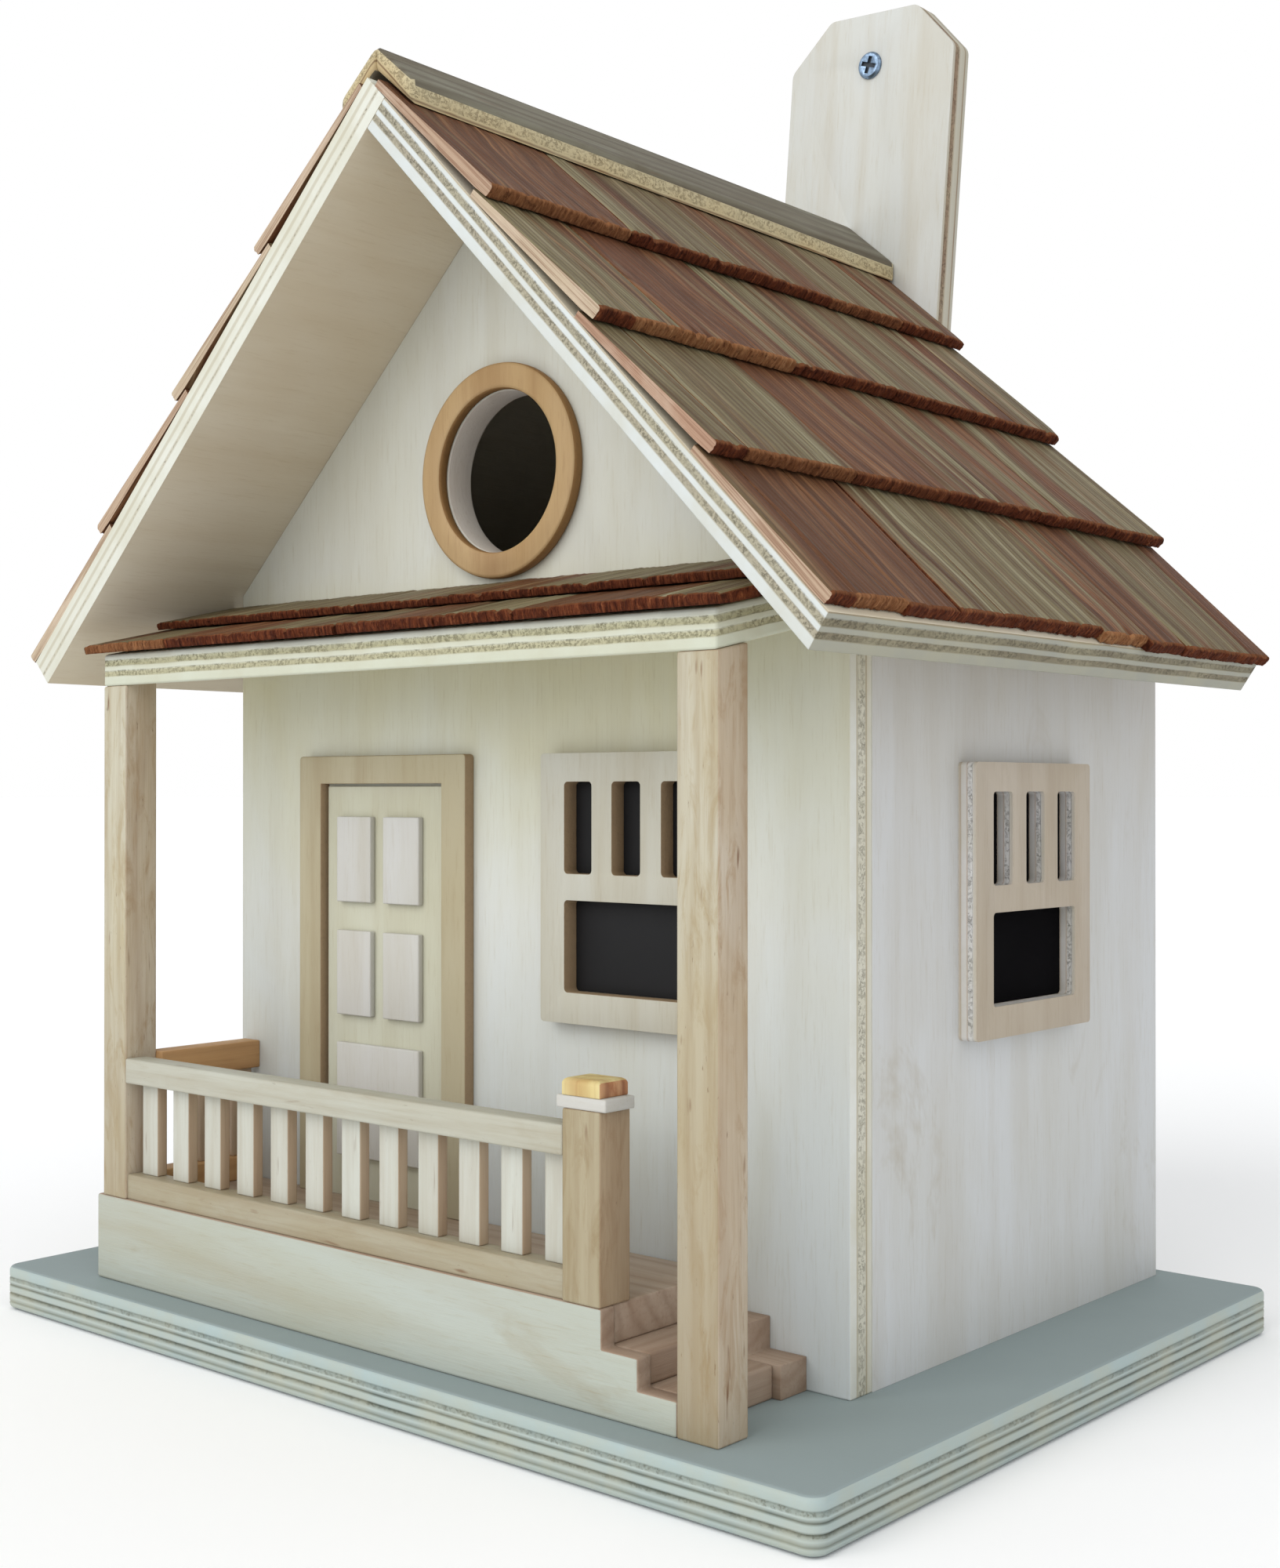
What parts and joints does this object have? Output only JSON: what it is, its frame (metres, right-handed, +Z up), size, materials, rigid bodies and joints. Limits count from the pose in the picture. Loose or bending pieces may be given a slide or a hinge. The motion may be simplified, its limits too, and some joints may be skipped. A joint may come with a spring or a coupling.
{
  "type": "birdhouse",
  "caption": "Cottage birdhouse of plywood and cedar shingles with a round entrance, front porch, railing and steps, and a board and screw to hang it.",
  "frame": {"origin": "centre of the base board's underside", "axes": "+Z up, the front with the porch faces -Y, +X to the right seen from the front"},
  "size_m": [0.3077, 0.2563, 0.4218],
  "materials": {
    "birch_ply": "satin",
    "base_paint": "gloss",
    "cedar_shingle": "rough",
    "cedar_board": "rough",
    "pine": "satin",
    "cream_paint": "satin",
    "tan_ply": "satin",
    "black_pane": "matte",
    "zinc_steel": "bright zinc"
  },
  "bodies": {
    "birdhouse": {"front_wall": "birch_ply", "back_wall": "birch_ply", "left_wall": "birch_ply", "right_wall": "birch_ply", "roof_panel_left": "birch_ply", "roof_panel_right": "birch_ply", "hanger_board": "birch_ply", "porch_roof_board": "birch_ply", "base_board": "base_paint", "shingles_left_1": "cedar_shingle", "shingles_left_2": "cedar_shingle", "shingles_left_3": "cedar_shingle", "shingles_left_4": "cedar_shingle", "shingles_right_1": "cedar_shingle", "shingles_right_2": "cedar_shingle", "shingles_right_3": "cedar_shingle", "shingles_right_4": "cedar_shingle", "porch_shingles_lower": "cedar_shingle", "porch_shingles_upper": "cedar_shingle", "ridge_cap_left": "cedar_board", "ridge_cap_right": "cedar_board", "porch_post_left": "pine", "porch_post_right": "pine", "porch_front_board": "pine", "porch_back_board": "pine", "deck_end_board": "pine", "porch_deck": "pine", "step_tread_lower": "pine", "step_tread_upper": "pine", "newel_post": "pine", "front_bottom_rail": "pine", "front_top_rail": "cream_paint", "front_balusters": "cream_paint", "side_top_rail": "cream_paint", "side_bottom_rail": "cream_paint", "side_balusters": "cream_paint", "newel_cap_plate": "cream_paint", "newel_cap_block": "cream_paint", "door_slab": "cream_paint", "door_raised_panels": "cream_paint", "entrance_ring": "tan_ply", "door_frame": "tan_ply", "window_frame_front": "tan_ply", "window_frame_left": "tan_ply", "window_frame_right": "tan_ply", "window_panes_front": "black_pane", "window_panes_left": "black_pane", "window_panes_right": "black_pane", "mounting_screw": "zinc_steel", "hanger_brads": "zinc_steel", "base_screws": "zinc_steel", "cleanout_pivot_screw": "zinc_steel"},
    "cover": {"cleanout_cover": "birch_ply"}
  },
  "joints": [
    {"name": "cleanout_swivel", "type": "hinge", "parent": "birdhouse", "child": "cover", "pos_m": [0.005, 0.11035, 0.095], "axis": [0, 1, 0], "continuous": true}
  ]
}
